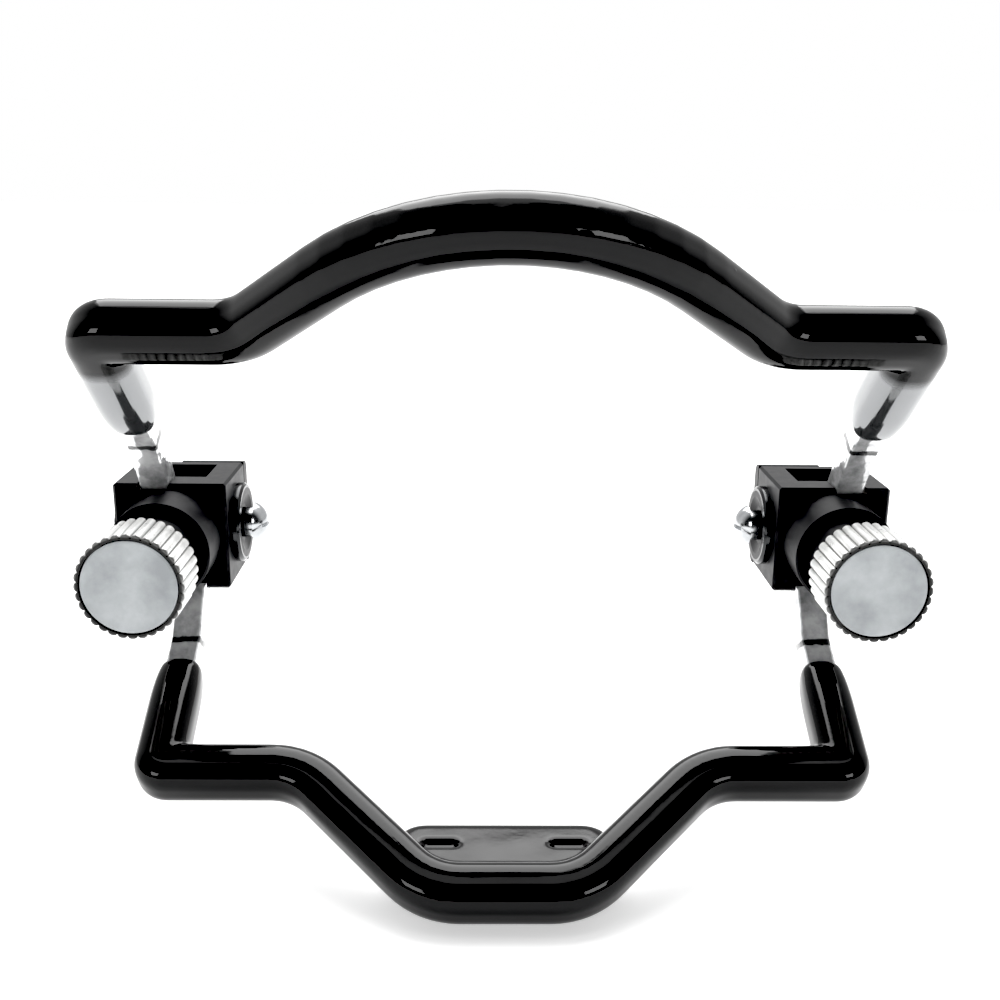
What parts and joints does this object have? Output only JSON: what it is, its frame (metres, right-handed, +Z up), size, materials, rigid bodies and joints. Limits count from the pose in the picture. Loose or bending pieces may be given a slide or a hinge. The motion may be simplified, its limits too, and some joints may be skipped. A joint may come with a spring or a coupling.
{
  "type": "cheek retractor",
  "caption": "Knob-driven cheek and mouth retractor: an arched upper bow and a dipped lower bow, both black-coated, on chrome arms hinged in side housings.",
  "frame": {"origin": "on the hinge axis, midway between the two side housings, which is where the wearer's mouth mount is", "axes": "+X along the hinge axis, to the right as seen from the front; -Y to the front, where the knobs face; +Z up, towards the arched upper bow"},
  "size_m": [0.1146, 0.0553, 0.0868],
  "materials": {
    "black_coating": "gloss",
    "core_steel": "satin",
    "chrome_bar": "polished",
    "chrome_hardware": "polished",
    "gear_steel": "machined",
    "black_anodised": "gloss anodised",
    "bright_knob": "bright",
    "satin_face": "satin",
    "dark_screw": "blackened",
    "bronze": "satin"
  },
  "bodies": {
    "lower_frame": {"lower_bow": "core_steel", "lower_bite_plate": "core_steel", "lower_coating": "black_coating", "lower_arm_dowels": "core_steel", "right_lower_arm": "chrome_bar", "right_lower_crown_gear": "gear_steel", "left_lower_arm": "chrome_bar", "left_lower_crown_gear": "gear_steel"},
    "upper_frame": {"upper_bow": "core_steel", "upper_bite_plate": "core_steel", "upper_coating": "black_coating", "upper_arm_dowels": "core_steel", "right_upper_arm": "chrome_bar", "right_upper_crown_gear": "gear_steel", "left_upper_arm": "chrome_bar", "left_upper_crown_gear": "gear_steel"},
    "right_housing_body": {"right_housing": "black_anodised", "right_rear_cover": "black_anodised", "right_cover_screws": "dark_screw", "right_bearing_boss": "black_anodised", "right_neck_bush": "black_anodised", "right_brake_washers": "gear_steel", "right_axle": "chrome_hardware", "right_axle_nut": "chrome_hardware", "right_friction_disc": "black_anodised", "right_disc_rim": "chrome_hardware", "right_axle_collar": "chrome_hardware", "right_thrust_washers": "bronze"},
    "right_knob_body": {"right_spindle": "gear_steel", "right_spindle_clip": "gear_steel", "right_pinion": "gear_steel", "right_knob": "bright_knob", "right_knob_face": "satin_face", "right_knob_grub_screw": "dark_screw"},
    "left_housing_body": {"left_housing": "black_anodised", "left_rear_cover": "black_anodised", "left_cover_screws": "dark_screw", "left_bearing_boss": "black_anodised", "left_neck_bush": "black_anodised", "left_brake_washers": "gear_steel", "left_axle": "chrome_hardware", "left_axle_nut": "chrome_hardware", "left_friction_disc": "black_anodised", "left_disc_rim": "chrome_hardware", "left_axle_collar": "chrome_hardware", "left_thrust_washers": "bronze"},
    "left_knob_body": {"left_spindle": "gear_steel", "left_spindle_clip": "gear_steel", "left_pinion": "gear_steel", "left_knob": "bright_knob", "left_knob_face": "satin_face", "left_knob_grub_screw": "dark_screw"}
  },
  "joints": [
    {"name": "opening", "type": "hinge", "parent": "lower_frame", "child": "upper_frame", "pos_m": [0, 0, 0], "axis": [-1, 0, 0], "range_deg": [0, 88]},
    {"name": "right_housing_swing", "type": "hinge", "parent": "lower_frame", "child": "right_housing_body", "pos_m": [0.04755, 0, 0], "axis": [-1, 0, 0], "range_deg": [0, 44]},
    {"name": "left_housing_swing", "type": "hinge", "parent": "lower_frame", "child": "left_housing_body", "pos_m": [-0.04755, 0, 0], "axis": [-1, 0, 0], "range_deg": [0, 44]},
    {"name": "right_knob_turn", "type": "hinge", "parent": "right_housing_body", "child": "right_knob_body", "pos_m": [0.04755, -0.0292, 0], "axis": [0, -1, 0], "range_deg": [0, 132]},
    {"name": "left_knob_turn", "type": "hinge", "parent": "left_housing_body", "child": "left_knob_body", "pos_m": [-0.04755, -0.0292, 0], "axis": [0, 1, 0], "range_deg": [0, 132]}
  ],
  "couplings": [
    {"joint": "right_housing_swing", "follows": "opening", "ratio": 0.5},
    {"joint": "left_housing_swing", "follows": "opening", "ratio": 0.5},
    {"joint": "right_knob_turn", "follows": "opening", "ratio": 1.5},
    {"joint": "left_knob_turn", "follows": "opening", "ratio": 1.5}
  ]
}
